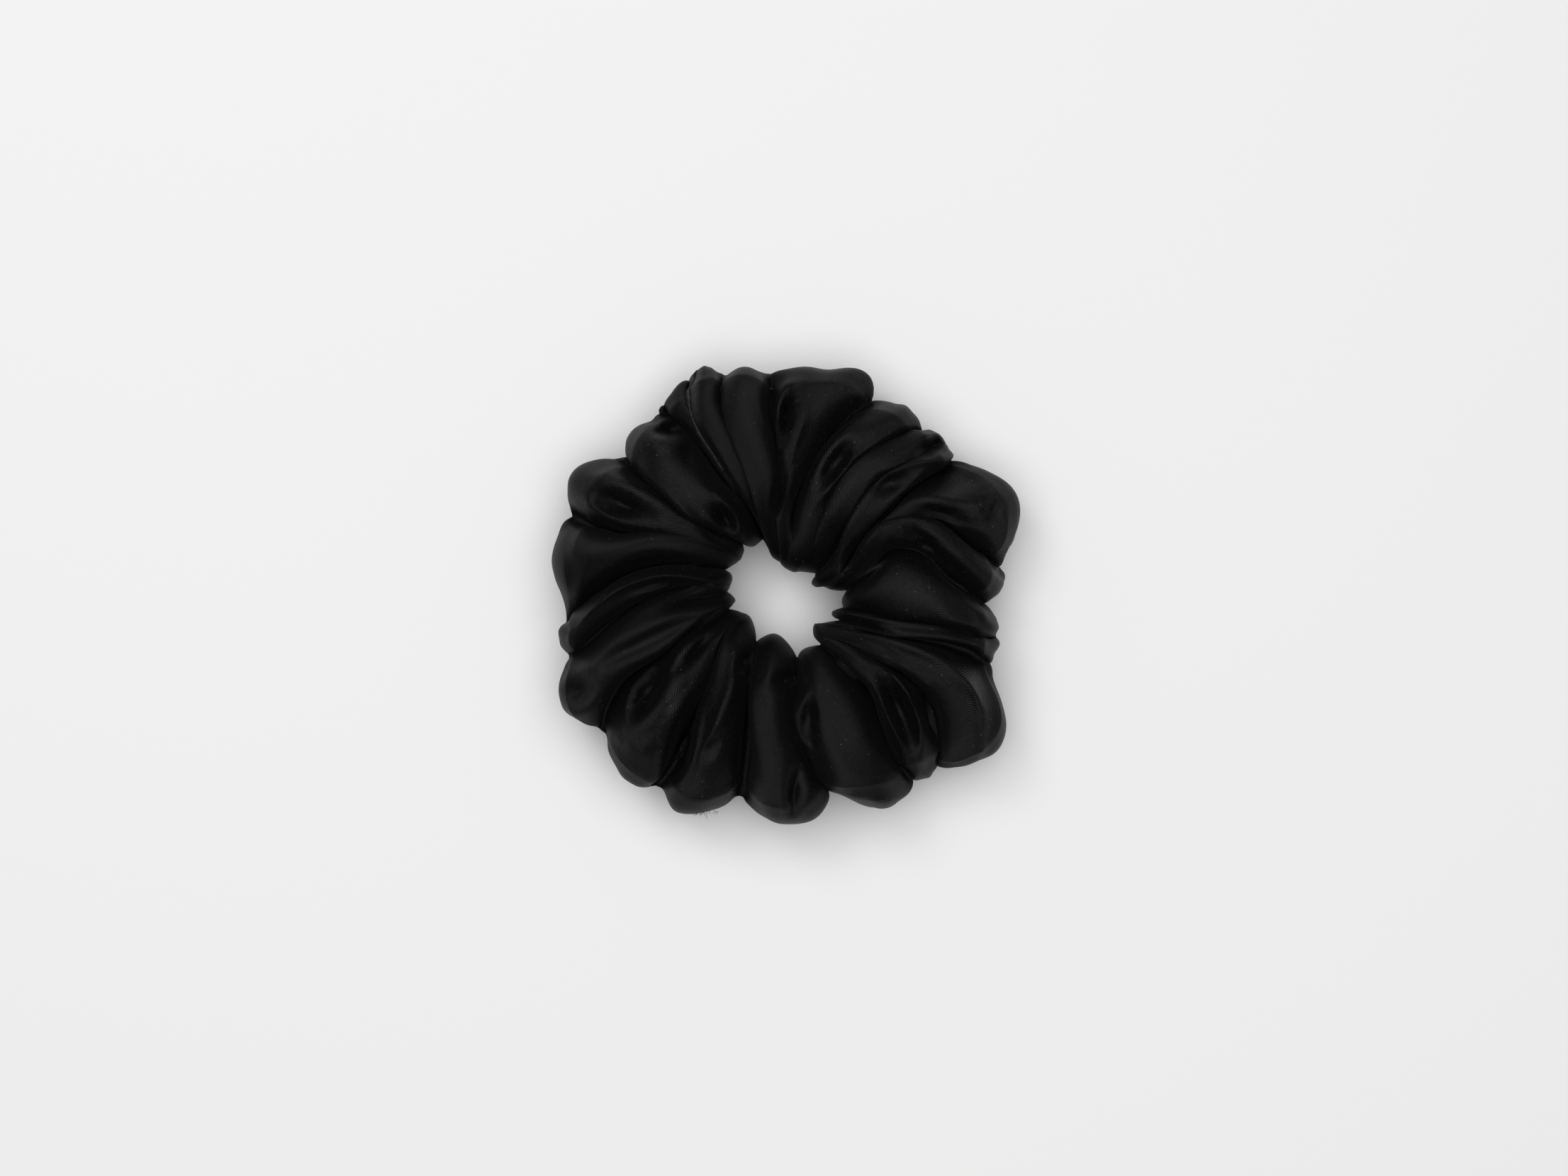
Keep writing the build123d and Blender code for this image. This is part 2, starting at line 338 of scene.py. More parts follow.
def cover_points():
    """The gathered tube as a grid of points, along its length and then round it, and where each
    fold starts."""
    around = np.arange(TUBE_ROWS) / TUBE_ROWS * 2 * math.pi
    steps, starts = fold_steps()
    grid = (len(steps), TUBE_ROWS)
    roll = smooth_noise(ROLL_SEED, grid, ROLL_WAVES)[:, 0] * math.radians(TUBE_ROLL)
    points = np.zeros((*grid, 3))
    for place, (fold, following, turn, share) in enumerate(steps):
        angle = around + roll[place]
        side, rise = np.cos(angle), np.sin(angle)
        inward = (1 - side) / 2
        arch = math.sin(math.pi * share)
        roundness = arch**FOLD_BLUNTNESS

        # How far out the fold reaches, and how far in its nose comes
        pinch = fold["pinch"] * (1 - share) + following["pinch"] * share
        rim_curve = np.polyfit(RIM_PLACES, fold["rim"], 2)
        rim = np.polyval(rim_curve, min(max(share, RIM_FROM), RIM_TO))
        reach = pinch + (rim - pinch) * arch**RIM_BLUNTNESS
        first = crease_angles(fold, NOSE_RADIUS, 0)
        last = crease_angles(following, NOSE_RADIUS, turn)
        nose, dent = nose_at(first + (last - first) * share)

        # How deep the creases beside it are
        deep = np.zeros(TUBE_ROWS)
        for weight, edge in ((1 - share, fold), (share, following)):
            deep += weight * np.interp(inward, DEPTH_PLACES, edge["depth"])
        deep *= 1 - roundness
        hole_side = np.clip((inward - HOLE_SIDE_START) / HOLE_SIDE_SPAN, 0, 1)
        hole_side = hole_side * hole_side * (3 - 2 * hole_side)
        deep = deep * (1 - HOLE_SIDE_RULE * hole_side) + HOLE_SIDE_RULE * hole_side * dent

        # The section's outline, and its place round the hoop
        centre, half = (reach + nose) / 2, (reach - nose) / 2
        radius = centre + half * blunted(side, SECTION_BLUNTNESS)
        top = fold["height"] - MID_HEIGHT - CREASE_DEPTH * deep
        bottom = MID_HEIGHT - UNDERSIDE_SHARE * CREASE_DEPTH * deep
        height = MID_HEIGHT + np.where(rise > 0, top, bottom) * blunted(rise, SECTION_BLUNTNESS)
        first = crease_angles(fold, radius, 0)
        last = crease_angles(following, radius, turn)
        heading = first + (last - first) * share
        heading += fold["lean"] / radius * roundness * np.abs(rise) ** 0.5
        overhang = OVERHANG * math.sin(2 * math.pi * share) / radius * np.abs(rise)
        heading -= overhang * (1 - OVERHANG_CALM * hole_side)
        points[place, :, 0] = radius * np.cos(heading)
        points[place, :, 1] = radius * np.sin(heading)
        points[place, :, 2] = height
    return points, starts


def grid_normals(points):
    """Unit normals of the tube's grid, pointing out of the tube."""
    along = np.roll(points, -1, 0) - np.roll(points, 1, 0)
    across = np.roll(points, -1, 1) - np.roll(points, 1, 1)
    normals = np.cross(along, across)
    normals /= np.linalg.norm(normals, axis=2, keepdims=True) + 1e-9
    middle = points.mean(axis=1, keepdims=True)
    if ((points - middle) * normals).sum() < 0:
        normals = -normals
    return normals


def soften(points, passes):
    """Relax the grid a little, as the weave evens out a kink."""
    for _ in range(passes):
        along = np.roll(points, 1, 0) + np.roll(points, -1, 0)
        beside = along + np.roll(points, 1, 1) + np.roll(points, -1, 1)
        points = points * 0.5 + beside * 0.125
    return points


def upper_side(points):
    """How far each point belongs to the upper side, 0 to 1."""
    return np.clip((points[:, :, 2] - MID_HEIGHT) / UPPER_RISE, 0, 1)


def press_hollows(points):
    """Press the hollows into the upper side and roll up their rims."""
    upper = upper_side(points)
    for (x, y), half_length, half_width, direction, depth in HOLLOWS:
        turn = math.radians(direction)
        dx, dy = points[:, :, 0] - x, points[:, :, 1] - y
        along = (dx * math.cos(turn) + dy * math.sin(turn)) / half_length
        across = (dy * math.cos(turn) - dx * math.sin(turn)) / half_width
        away = np.sqrt(along**2 + across**2)
        dent = np.exp(-((HOLLOW_REACH * away) ** HOLLOW_STEEPNESS))
        rim = np.exp(-(((away - ROLL_PLACE) / ROLL_WIDTH) ** 2))
        points[:, :, 2] += HOLLOW_STRENGTH * upper * depth * (ROLL_HEIGHT * rim - dent)
    return points


def draw_folds(points):
    """Raise or sink the finer folds along their courses over the upper side."""
    upper = upper_side(points)
    plan = points[:, :, :2]
    smooth_course = np.polynomial.polynomial.Polynomial.fit
    for course, width, height in DRAWN_FOLDS:
        stops = np.array(course, float)
        bends = np.linspace(0, 1, len(stops))
        along_x = smooth_course(bends, stops[:, 0], len(stops) - 1)
        along_y = smooth_course(bends, stops[:, 1], len(stops) - 1)
        nearest = np.full(plan.shape[:2], 1e9)
        strength = np.zeros(plan.shape[:2])
        for share in np.linspace(0, 1, DRAWN_STEPS):
            distance = np.hypot(plan[:, :, 0] - along_x(share), plan[:, :, 1] - along_y(share))
            closer = distance < nearest
            nearest = np.where(closer, distance, nearest)
            faded = math.sin(math.pi * (0.04 + 0.92 * share)) ** 0.6
            strength = np.where(closer, faded, strength)
        if height < 0:
            lips = np.exp(-(((nearest - LIP_PLACE * width) / width) ** 2))
            profile = np.exp(-nearest / width) - LIP_HEIGHT * lips
        else:
            profile = np.exp(-((nearest / width) ** 1.5))
        points[:, :, 2] += DRAWN_STRENGTH * upper * strength * height * profile
    return points


def wrinkle(points):
    """Small wrinkles along the folds and a few that cross them, more of them underneath."""
    normals = grid_normals(points)
    amount = np.zeros(points.shape[:2])
    for seed, waves, height in WRINKLES:
        amount += height * smooth_noise(seed, points.shape[:2], waves)
    from_axis = np.hypot(points[:, :, 0], points[:, :, 1])
    amount = amount * np.clip((from_axis - WRINKLES_FROM) / WRINKLES_OVER, 0, 1)
    amount *= np.where(points[:, :, 2] < MID_HEIGHT - 4, UNDERSIDE_WRINKLES, 1)
    return points + normals * amount[:, :, None]


def press_edge(points):
    """The crisp edge where the tube was pressed flat, along its outside."""
    normals = grid_normals(points)
    for offset, height in PRESSED_ROWS:
        points[:, SEAM_ROW + offset] += normals[:, SEAM_ROW + offset] * height
    return points


def clear_elastic(points):
    """Where the creases sink to the elastic they lie on it, over it and under it, not through it."""
    from_axis = np.hypot(points[:, :, 0], points[:, :, 1])
    beyond = np.maximum(np.abs(from_axis - ROOM_RADIUS) - ROOM_FLAT, 0)
    room = ELASTIC_ROOM - ROOM_SLOPE * beyond**2
    upper = np.arange(TUBE_ROWS) < TUBE_ROWS / 2
    height = points[:, :, 2]
    over = np.maximum(height, ELASTIC_MIDDLE + room)
    under = np.minimum(height, ELASTIC_MIDDLE - room)
    points[:, :, 2] = np.where(room > 0, np.where(upper, over, under), height)
    return points


def flatten_foot(points):
    """Press the underside flat where it lies on the table."""
    height = points[:, :, 2]
    pressed = FOOT_HEIGHT + (height - FOOT_HEIGHT) * FOOT_GIVE
    height = np.where(height < FOOT_HEIGHT, pressed, height)
    points[:, :, 2] = np.maximum(height, LEAST_HEIGHT)
    return points


def grid_piece(name, points, faces):
    """A new piece from a grid of points in millimetres."""
    mesh = bpy.data.meshes.new(name)
    mesh.from_pydata((points * MM).reshape(-1, 3).tolist(), [], faces.tolist())
    piece = bpy.data.objects.new(name, mesh)
    bpy.context.collection.objects.link(piece)
    return piece


def tube_piece(name, points):
    """A closed tube with its strip's own UV map: along the strip, then round the tube."""
    length, rows, _ = points.shape
    place = np.arange(length * rows).reshape(length, rows)
    beside, above = np.roll(place, -1, 0), np.roll(place, -1, 1)
    corner = np.roll(beside, -1, 1)
    faces = np.stack([place, beside, corner, above], axis=2).reshape(-1, 4)
    piece = grid_piece(name, points, faces)
    along = (np.arange(length)[:, None, None] + np.array([0, 1, 1, 0])) / length
    across = (np.arange(rows)[None, :, None] + np.array([0, 0, 1, 1])) / rows
    along, across = np.broadcast_arrays(along, across)
    layer = piece.data.uv_layers.new(name="strip")
    layer.data.foreach_set("uv", np.stack([along, across], axis=3).reshape(-1))
    face_outwards(piece)
    return piece


def face_outwards(piece):
    """Turn the whole closed shell so that its faces point outwards."""
    shell = bmesh.new()
    shell.from_mesh(piece.data)
    if shell.calc_volume(signed=True) < 0:
        bmesh.ops.reverse_faces(shell, faces=shell.faces)
    shell.to_mesh(piece.data)
    shell.free()


def apply_modifier(piece, modifier):
    bpy.ops.object.select_all(action="DESELECT")
    piece.select_set(True)
    bpy.context.view_layer.objects.active = piece
    bpy.ops.object.modifier_apply(modifier=modifier.name)


def give_thickness(piece, offset):
    """Give a sheet of satin its thickness: offset -1 adds it inwards, and 0 to both sides."""
    wall = piece.modifiers.new("satin", "SOLIDIFY")
    wall.thickness = SATIN_THICKNESS * MM
    wall.offset = offset
    apply_modifier(piece, wall)


def finish_piece(piece, material):
    """Smooth a piece, give it its material, and bake its transform into its mesh."""
    piece.data.polygons.foreach_set("use_smooth", [True] * len(piece.data.polygons))
    piece.data.update()
    piece.data.materials.clear()
    piece.data.materials.append(material)
    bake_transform(piece)


def around_axis(radius, degrees):
    return radius * math.cos(math.radians(degrees)), radius * math.sin(math.radians(degrees))


def new_material(name):
    material = bpy.data.materials.new(name)
    material.use_nodes = True
    nodes, links = material.node_tree.nodes, material.node_tree.links
    return material, nodes, links, nodes["Principled BSDF"]


def add_math(nodes, operation, second=None):
    node = nodes.new("ShaderNodeMath")
    node.operation = operation
    if second is not None:
        node.inputs[1].default_value = second
    return node


def add_noise(nodes, links, coordinates, scale, detail, roughness=0.5):
    noise = nodes.new("ShaderNodeTexNoise")
    noise.inputs["Scale"].default_value = scale
    noise.inputs["Detail"].default_value = detail
    noise.inputs["Roughness"].default_value = roughness
    links.new(coordinates, noise.inputs["Vector"])
    return noise.outputs["Fac"]


def add_tones(nodes, links, factor, dark, pale, low=0.0, high=1.0):
    """Two tones, from dark where the factor is low to pale where it is high."""
    tones = nodes.new("ShaderNodeValToRGB")
    first, second = tones.color_ramp.elements[0], tones.color_ramp.elements[1]
    first.color, second.color = (*dark, 1), (*pale, 1)
    first.position, second.position = low, high
    links.new(factor, tones.inputs["Fac"])
    return tones.outputs["Color"]


def add_relief(nodes, links, height, strength, distance, normal=None):
    relief = nodes.new("ShaderNodeBump")
    relief.inputs["Strength"].default_value = strength
    relief.inputs["Distance"].default_value = distance
    links.new(height, relief.inputs["Height"])
    if normal is not None:
        links.new(normal, relief.inputs["Normal"])
    return relief.outputs["Normal"]


def add_range(nodes, links, value, to_low, to_high, from_low=0.0, from_high=1.0):
    span = nodes.new("ShaderNodeMapRange")
    span.inputs["From Min"].default_value = from_low
    span.inputs["From Max"].default_value = from_high
    span.inputs["To Min"].default_value = to_low
    span.inputs["To Max"].default_value = to_high
    links.new(value, span.inputs["Value"])
    return span.outputs["Result"]


def piece_coordinates(nodes):
    return nodes.new("ShaderNodeTexCoord").outputs["Object"]


def strip_coordinates(nodes, links):
    """The cover's UV map, scaled to metres along and across the strip."""
    scale = nodes.new("ShaderNodeMapping")
    scale.inputs["Scale"].default_value = (STRIP_LENGTH * MM, TUBE_GIRTH * MM, 1)
    links.new(nodes.new("ShaderNodeTexCoord").outputs["UV"], scale.inputs["Vector"])
    return scale.outputs["Vector"]


def woven_ribs():
    """A satin weave's fine slanted ribs and its uneven yarn, on coordinates in metres."""
    group = bpy.data.node_groups.new("Woven ribs", "ShaderNodeTree")
    sockets = group.interface
    sockets.new_socket("Coordinates", in_out="INPUT", socket_type="NodeSocketVector")
    for label, usual in (("Pitch (m)", 0.0005), ("Slant", 1.0)):
        socket = sockets.new_socket(label, in_out="INPUT", socket_type="NodeSocketFloat")
        socket.default_value = usual
    for label in ("Ribs", "Slubs"):
        sockets.new_socket(label, in_out="OUTPUT", socket_type="NodeSocketFloat")
    nodes, links = group.nodes, group.links
    start, end = nodes.new("NodeGroupInput"), nodes.new("NodeGroupOutput")
    split = nodes.new("ShaderNodeSeparateXYZ")
    links.new(start.outputs["Coordinates"], split.inputs[0])

    # Turns of the ribs along the slanted way
    slanted = add_math(nodes, "MULTIPLY")
    links.new(split.outputs["Y"], slanted.inputs[0])
    links.new(start.outputs["Slant"], slanted.inputs[1])
    way = add_math(nodes, "ADD")
    links.new(split.outputs["X"], way.inputs[0])
    links.new(slanted.outputs[0], way.inputs[1])
    count = add_math(nodes, "DIVIDE")
    links.new(way.outputs[0], count.inputs[0])
    links.new(start.outputs["Pitch (m)"], count.inputs[1])
    turn = add_math(nodes, "MULTIPLY", 2 * math.pi)
    links.new(count.outputs[0], turn.inputs[0])

    # They drift a little, as real yarns do
    drift = add_noise(nodes, links, start.outputs["Coordinates"], scale=520, detail=2)
    drifted = add_math(nodes, "MULTIPLY_ADD", 7.0)
    links.new(drift, drifted.inputs[0])
    links.new(turn.outputs[0], drifted.inputs[2])
    wave = add_math(nodes, "SINE")
    links.new(drifted.outputs[0], wave.inputs[0])
    links.new(wave.outputs[0], end.inputs["Ribs"])
    slubs = add_noise(nodes, links, start.outputs["Coordinates"], scale=1500, detail=4, roughness=0.65)
    links.new(slubs, end.inputs["Slubs"])
    return group


def satin_material():
    """Near-black satin: slanted weave, uneven yarn, lint, fine rumples and a soft gloss."""
    material, nodes, links, shader = new_material("Black satin")
    weave = nodes.new("ShaderNodeGroup")
    weave.node_tree = woven_ribs()
    weave.inputs["Pitch (m)"].default_value = 0.00042
    weave.inputs["Slant"].default_value = 0.8
    links.new(strip_coordinates(nodes, links), weave.inputs["Coordinates"])
    ribs, slubs = weave.outputs["Ribs"], weave.outputs["Slubs"]
    place = piece_coordinates(nodes)

    grain = add_math(nodes, "MULTIPLY_ADD", 0.16)
    links.new(ribs, grain.inputs[0])
    links.new(slubs, grain.inputs[2])
    dark, pale = (0.0004, 0.0004, 0.0004), (0.0050, 0.0050, 0.0051)
    colour = add_tones(nodes, links, grain.outputs[0], dark, pale, low=0.3, high=0.72)
    lint = nodes.new("ShaderNodeTexVoronoi")
    lint.inputs["Scale"].default_value = 430
    lint.inputs["Randomness"].default_value = 1
    links.new(place, lint.inputs["Vector"])
    specks = add_range(nodes, links, lint.outputs["Distance"], 1, 0, from_low=0.03, from_high=0.09)
    dusted = nodes.new("ShaderNodeMix")
    dusted.data_type = "RGBA"
    dusted.inputs["B"].default_value = (0.06, 0.06, 0.061, 1)
    links.new(specks, dusted.inputs["Factor"])
    links.new(colour, dusted.inputs["A"])
    links.new(dusted.outputs["Result"], shader.inputs["Base Color"])
    links.new(add_range(nodes, links, slubs, 0.40, 0.54), shader.inputs["Roughness"])

    height = add_math(nodes, "MULTIPLY_ADD", 2.6)
    links.new(slubs, height.inputs[0])
    links.new(ribs, height.inputs[2])
    woven = add_relief(nodes, links, height.outputs[0], strength=0.6, distance=0.00005)
    rumples = add_noise(nodes, links, place, scale=150, detail=4, roughness=0.55)
    rumpled = add_relief(nodes, links, rumples, strength=0.4, distance=0.0006, normal=woven)
    links.new(rumpled, shader.inputs["Normal"])

    shader.inputs["Specular IOR Level"].default_value = 0.145
    shader.inputs["Sheen Weight"].default_value = 0.012
    shader.inputs["Sheen Roughness"].default_value = 0.35
    shader.inputs["Sheen Tint"].default_value = (0.8, 0.82, 0.9, 1)
    return material


def raw_edge_painted_sheen_material():
    """Satin at its raw edge, where the weave is loose: its paler tone is partly the loose fibres and
    partly painted sheen.
    """
    material, nodes, links, shader = new_material("Raw satin edge with painted sheen")
    fibres = add_noise(nodes, links, piece_coordinates(nodes), scale=1800, detail=3)
    # The pale end of these tones is partly loose fibre and partly painted sheen
    dark, pale = (0.005, 0.005, 0.005), (0.060, 0.060, 0.062)
    colour = add_tones(nodes, links, fibres, dark, pale, low=0.35, high=0.7)
    links.new(colour, shader.inputs["Base Color"])
    relief = add_relief(nodes, links, fibres, strength=0.6, distance=0.0002)
    links.new(relief, shader.inputs["Normal"])
    shader.inputs["Roughness"].default_value = 0.7
    shader.inputs["Specular IOR Level"].default_value = 0.2
    return material


def elastic_material():
    """Matt black braid, its cords running round the loop."""
    material, nodes, links, shader = new_material("Black braided elastic")
    braid = nodes.new("ShaderNodeTexWave")
    braid.wave_type = "BANDS"
    braid.bands_direction = "Z"
    braid.inputs["Scale"].default_value = 420
    braid.inputs["Distortion"].default_value = 6
    braid.inputs["Detail"].default_value = 2
    links.new(piece_coordinates(nodes), braid.inputs["Vector"])
    cords = braid.outputs["Fac"]
    colour = add_tones(nodes, links, cords, (0.008, 0.008, 0.009), (0.028, 0.028, 0.030))
    links.new(colour, shader.inputs["Base Color"])
    relief = add_relief(nodes, links, cords, strength=0.6, distance=0.0002)
    links.new(relief, shader.inputs["Normal"])
    shader.inputs["Roughness"].default_value = 0.7
    return material


def thread_material():
    """Black spun thread, its fibres a little uneven."""
    material, nodes, links, shader = new_material("Black sewing thread")
    fibres = add_noise(nodes, links, piece_coordinates(nodes), scale=3000, detail=2)
    colour = add_tones(nodes, links, fibres, (0.010, 0.010, 0.011), (0.035, 0.035, 0.038))
    links.new(colour, shader.inputs["Base Color"])
    shader.inputs["Roughness"].default_value = 0.6
    return material


def make_cover():
    """The gathered cover. Returns the grid it is made from, and where each fold starts on it."""
    points, starts = cover_points()
    points = soften(points, 2)
    points = press_hollows(points)
    points = draw_folds(points)
    points = wrinkle(points)
    points = soften(points, 1)
    points = press_edge(points)
    points = clear_elastic(points)
    points = flatten_foot(points)
    cover = tube_piece("satin_cover", points)
    give_thickness(cover, -1)
    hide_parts("cover_back", "cover_front")
    finish_piece(cover, satin_material())
    return points, starts


def make_elastic():
    """The flat strip: its section is spun round the loop, and closes in by one thickness on the way."""
    low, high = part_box("elastic_front")
    step = (ELASTIC_THICKNESS + LAP_GAP) * MM
    start = around_axis(ELASTIC_RADIUS * MM + step, LAP_START)
    bpy.ops.object.select_all(action="DESELECT")
    bpy.ops.mesh.primitive_plane_add(size=1, location=(0, 0, 0))
    band = bpy.context.object
    band.name = band.data.name = "elastic_band"
    band.scale = (ELASTIC_THICKNESS * MM, ELASTIC_WIDTH * MM, 1)
    band.rotation_euler = (math.pi / 2, 0, math.radians(LAP_START))
    band.location = (start[0], start[1], (low[2] + high[2]) / 2)
    bpy.ops.object.transform_apply(location=True, rotation=True, scale=True)
    bpy.ops.object.mode_set(mode="EDIT")
    bpy.ops.mesh.select_all(action="SELECT")
    bpy.ops.mesh.subdivide(number_cuts=1)
    quarter, half_turn = 90, 180
    rest = 360 + LAP_END - LAP_START - quarter - half_turn
    shifted = around_axis(step / 2, LAP_START + quarter)
    runs = zip((quarter, half_turn, rest), ((0, 0), shifted, (0, 0)), SPIN_STEPS)
    for turn, centre, steps in runs:
        bpy.ops.mesh.spin(steps=steps, angle=math.radians(turn), center=(*centre, 0), axis=(0, 0, -1))
    bpy.ops.mesh.select_all(action="SELECT")
    bpy.ops.mesh.remove_doubles(threshold=0.00001)
    bpy.ops.mesh.normals_make_consistent(inside=False)
    bpy.ops.object.mode_set(mode="OBJECT")
    soft = band.modifiers.new("soft edges", "BEVEL")
    soft.width = ELASTIC_EDGE * MM
    soft.segments = 2
    soft.limit_method = "ANGLE"
    apply_modifier(band, soft)
    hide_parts("elastic_front", "elastic_inner_end", "elastic_outer_end")
    finish_piece(band, elastic_material())


def make_stitches(name, spans, thickness, thread):
    """One piece of short round stitches, each from one point to another: one stitch is modelled, and
    each of the others is its copy, drawn out to its own length."""
    bpy.ops.object.select_all(action="DESELECT")
    bpy.ops.mesh.primitive_uv_sphere_add(segments=8, ring_count=6, radius=thickness / 2 * MM)
    model = bpy.context.object
    made = []
    for start, end in spans:
        start, end = Vector(start) * MM, Vector(end) * MM
        stitch = model.copy()
        stitch.data = model.data.copy()
        bpy.context.collection.objects.link(stitch)
        run = end - start
        stitch.data.transform(run.to_track_quat("Z", "Y").to_matrix().to_4x4())
        direction = run.normalized()
        for vertex in stitch.data.vertices:
            far_side = vertex.co.dot(direction) > 0
            vertex.co += direction * (run.length / 2 if far_side else -run.length / 2)
            vertex.co += (start + end) / 2
        made.append(stitch)
    bpy.data.objects.remove(model)
    bpy.ops.object.select_all(action="DESELECT")
    for stitch in made:
        stitch.select_set(True)
    bpy.context.view_layer.objects.active = made[0]
    bpy.ops.object.join()
    piece = bpy.context.object
    piece.name = piece.data.name = name
    finish_piece(piece, thread)
    return piece


def make_bartack(thread):
    """The stitches through both lapped ends of the elastic."""
    low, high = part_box("elastic_bartack_thread")
    angle = (LAP_START + LAP_END) / 2
    near = ELASTIC_RADIUS - ELASTIC_THICKNESS / 2 - THREAD / 2
    far = ELASTIC_RADIUS + 1.5 * ELASTIC_THICKNESS + LAP_GAP + THREAD / 2
    spans = []
    for count in range(BARTACK_STITCHES):
        height = (low[2] + (high[2] - low[2]) * (count + 0.5) / BARTACK_STITCHES) / MM
        spans.append(((*around_axis(near, angle), height), (*around_axis(far, angle), height)))
    piece = make_stitches("elastic_bartack", spans, THREAD, thread)
    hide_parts("elastic_bartack_thread")


def make_long_seam(grid, normals, thread):
    """The lengthwise seam's stitches, just inside the satin, and none where it turns in a crease."""
    course = grid[:, SEAM_ROW] - normals[:, SEAM_ROW] * SEAM_DEPTH
    legs = np.linalg.norm(np.roll(course, -1, 0) - course, axis=1)
    so_far = np.concatenate([[0], np.cumsum(legs)])
    closed = np.vstack([course, course[:1]])
    pitch = so_far[-1] / SEAM_STITCHES
    spans = []
    for count in range(SEAM_STITCHES):
        stops = []
        for part in (0, SEAM_STITCH_SHARE / 2, SEAM_STITCH_SHARE):
            place = (count + part) * pitch
            stops.append(np.array([np.interp(place, so_far, closed[:, axis]) for axis in range(3)]))
        start, middle, end = stops
        if np.linalg.norm((start + end) / 2 - middle) < SEAM_STITCH_BEND:
            spans.append((start, end))
    piece = make_stitches("long_seam_thread", spans, THREAD * 0.8, thread)
    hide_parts("long_seam_thread_back", "long_seam_thread_front")


def make_closing_seam(grid, normals, crease, thread):
    """The stitches across the crease where the tube's two ends are sewn together."""
    inside = grid - normals * CLOSING_DEPTH
    spans = []
    for count in range(CLOSING_STITCHES):
        row = CLOSING_ROW + CLOSING_ROWS_APART * count
        spans.append((inside[crease - CLOSING_REACH, row], inside[crease + CLOSING_REACH, row]))
    piece = make_stitches("closing_seam", spans, THREAD, thread)
    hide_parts("closing_seam_thread")


def between_rows(line, row):
    """The point part of the way between two rows, on one line round the tube."""
    low, part = int(math.floor(row)), row - math.floor(row)
    return line[low % TUBE_ROWS] * (1 - part) + line[(low + 1) % TUBE_ROWS] * part


def folded_end_points(grid, normals, crease):
    """The ragged strip's points, along the crease and then across it, and its loose fibres."""
    chance = np.random.default_rng(21)
    rows = np.linspace(*FOLDED_END_ROWS, FOLDED_END_STEPS)
    across = np.linspace(0, 1, FOLDED_END_ACROSS)
    points = np.zeros((len(rows), len(across), 3))
    fibres = []
    for place, row in enumerate(rows):
        start = between_rows(grid[crease - FOLDED_END_BASE], row)
        end = between_rows(grid[crease - FOLDED_END_EDGE], row)
        outward = normals[crease - FOLDED_END_BASE, int(math.floor(row)) % TUBE_ROWS]
        sideways = (end - start) / (np.linalg.norm(end - start) + 1e-9)
        taper = math.sin(math.pi * (place + 4) / (len(rows) + 7)) ** 0.4
        width = (FOLDED_END_WIDTH + RAGGED * chance.normal() + WAVY * math.sin(place * 0.9)) * taper
        lift = 0.25 + 0.2 * math.sin(place * 0.45)
        for step, share in enumerate(across):
            rise = outward * (0.12 + lift * math.sin(2.4 * share))
            points[place, step] = start + sideways * width * share + rise
        if place % 2:
            tip, before = points[place, -1], points[place - 1, -1]
            hair = sideways * chance.uniform(0.4, 1.1) + outward * chance.uniform(-0.3, 0.8)
            hair = hair + (tip - before) * chance.uniform(-1.5, 1.5)
            fibres.append((tip - hair * 0.3, tip + hair))
    return points, fibres


def make_folded_end(grid, normals, crease, thread):
    """The raw folded end of the tube: a narrow ragged strip of satin that laps over the crease."""
    points, fibres = folded_end_points(grid, normals, crease)
    place = np.arange(points.shape[0] * points.shape[1]).reshape(points.shape[:2])
    corners = [place[:-1, :-1], place[1:, :-1], place[1:, 1:], place[:-1, 1:]]
    piece = grid_piece("folded_end", points, np.stack(corners, axis=2).reshape(-1, 4))
    give_thickness(piece, 0)
    face_outwards(piece)
    finish_piece(piece, raw_edge_painted_sheen_material())
    make_stitches("frayed_end", fibres, FRAY, thread)


def make_frayed_corner(grid, thread):
    """The few fibres that stand out where the lengthwise seam ends, on the outer edge in front."""
    chance = np.random.default_rng(22)
    away = np.linalg.norm(grid - np.array(CORNER), axis=2)
    root = grid.reshape(-1, 3)[int(np.argmin(away))]
    fibres = []
    for _ in range(CORNER_FIBRES):
        start = root + chance.normal(size=3) * CORNER_SPREAD
        sides = chance.uniform(-0.9, 0.9), chance.uniform(-0.9, -0.1), chance.uniform(-0.5, 0.9)
        hair = np.array(sides)
        fibres.append((start - hair * 0.4, start + hair))
    make_stitches("frayed_corner", fibres, FRAY, thread)


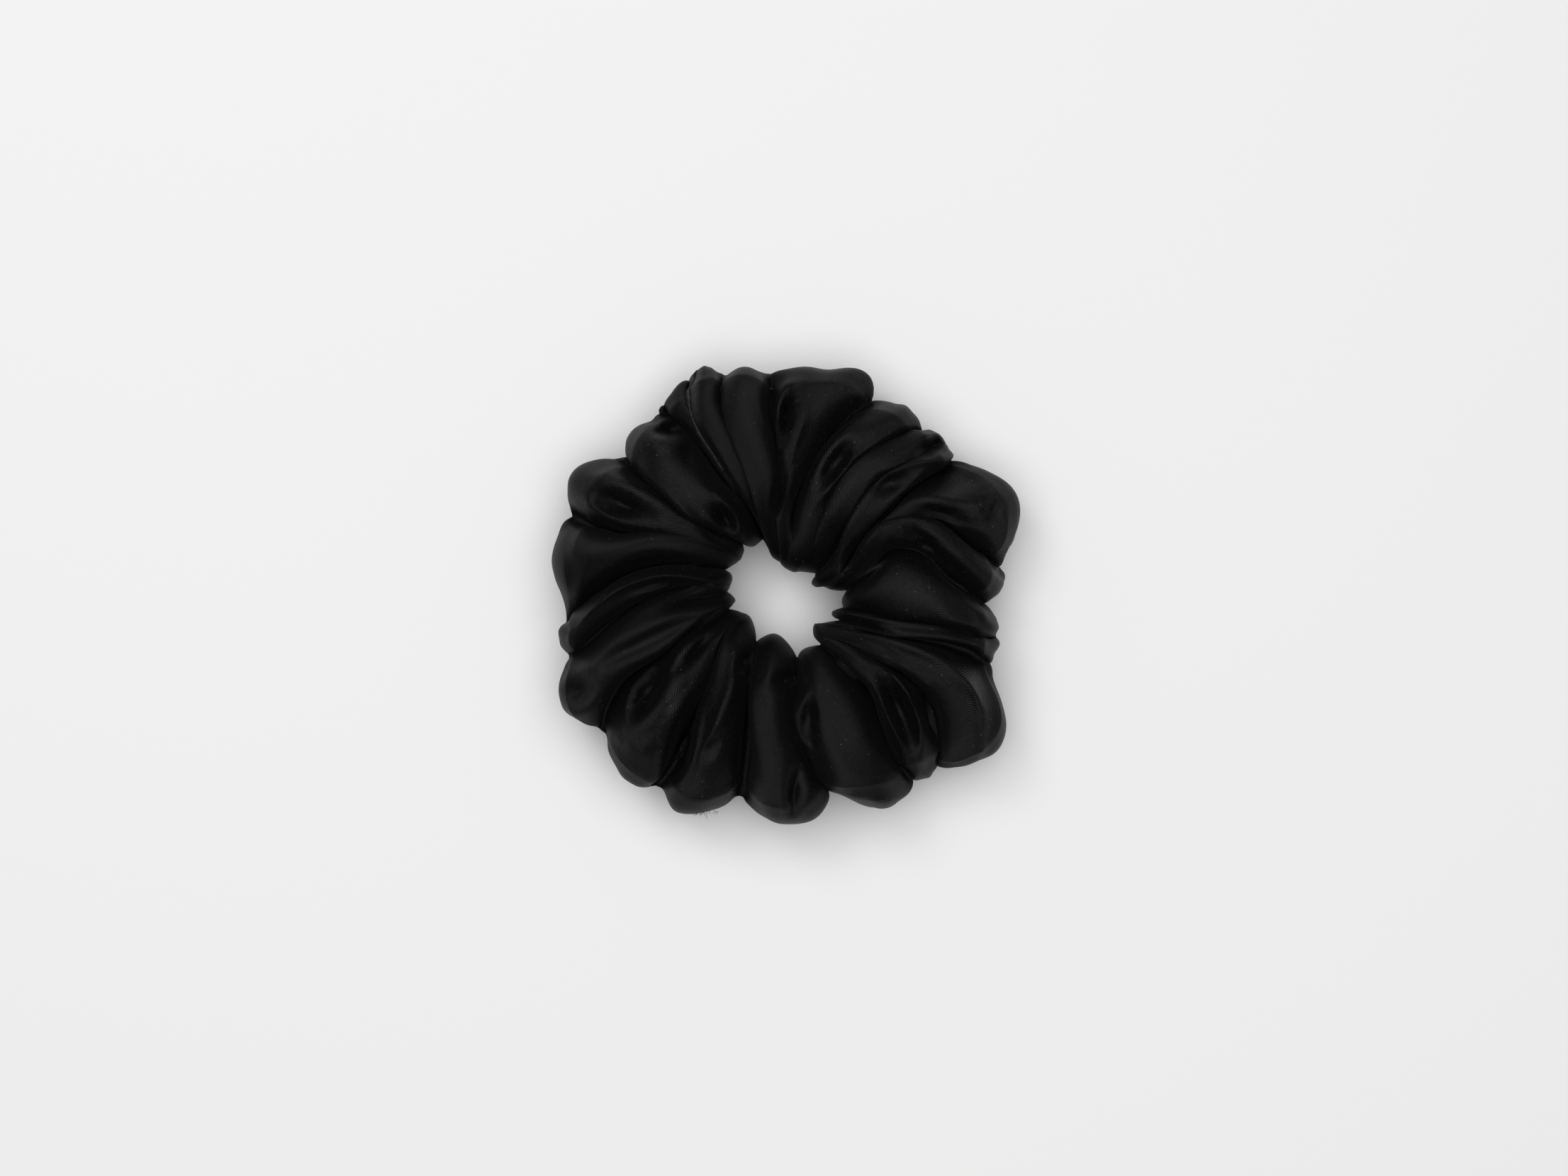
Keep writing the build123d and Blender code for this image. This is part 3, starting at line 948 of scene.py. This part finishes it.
def make_floor():
    bpy.ops.mesh.primitive_plane_add(size=6, location=(0, 0, 0))
    floor = bpy.context.object
    floor.name = "floor"
    material, nodes, links, shader = new_material("Pale studio floor")
    shader.inputs["Base Color"].default_value = (0.90, 0.90, 0.90, 1)
    shader.inputs["Roughness"].default_value = 0.7
    shader.inputs["Specular IOR Level"].default_value = 0.2
    floor.data.materials.append(material)


def make_light(name, place, size, power):
    """A round lamp, facing the object."""
    light = bpy.data.lights.new(name, "AREA")
    light.shape = "DISK"
    light.size = size
    light.energy = power
    lamp = bpy.data.objects.new(name, light)
    bpy.context.collection.objects.link(lamp)
    lamp.location = place
    lamp.rotation_euler = (-Vector(place)).to_track_quat("-Z", "Y").to_euler()


def make_studio():
    """A pale floor, soft light from above and the back left, and a camera straight above."""
    make_floor()
    make_light("soft_overhead", (0, 0.1, 1.5), 2.2, 25)
    make_light("soft_key", (-0.5, 0.6, 1.0), 0.5, 2.0)
    world = bpy.data.worlds.new("studio")
    world.use_nodes = True
    world.node_tree.nodes["Background"].inputs["Color"].default_value = (1, 1, 1, 1)
    world.node_tree.nodes["Background"].inputs["Strength"].default_value = 0.14
    bpy.context.scene.world = world
    camera_data = bpy.data.cameras.new("overhead")
    camera = bpy.data.objects.new("overhead", camera_data)
    bpy.context.collection.objects.link(camera)
    camera.location = (VIEW_CENTRE[0] * MM, VIEW_CENTRE[1] * MM, CAMERA_HEIGHT * MM)
    camera_data.sensor_width = SENSOR_WIDTH
    camera_data.lens = SENSOR_WIDTH * (CAMERA_HEIGHT - MID_HEIGHT) / VIEW_WIDTH
    bpy.context.scene.camera = camera
    bpy.context.scene.view_settings.view_transform = "Standard"


make_studio()
sewing_thread = thread_material()
cover_grid, fold_starts = make_cover()
cover_normals = grid_normals(cover_grid)
closing_crease = fold_starts[CLOSING_FOLD]
make_elastic()
make_bartack(sewing_thread)
make_long_seam(cover_grid, cover_normals, sewing_thread)
make_closing_seam(cover_grid, cover_normals, closing_crease, sewing_thread)
make_folded_end(cover_grid, cover_normals, closing_crease, sewing_thread)
make_frayed_corner(cover_grid, sewing_thread)
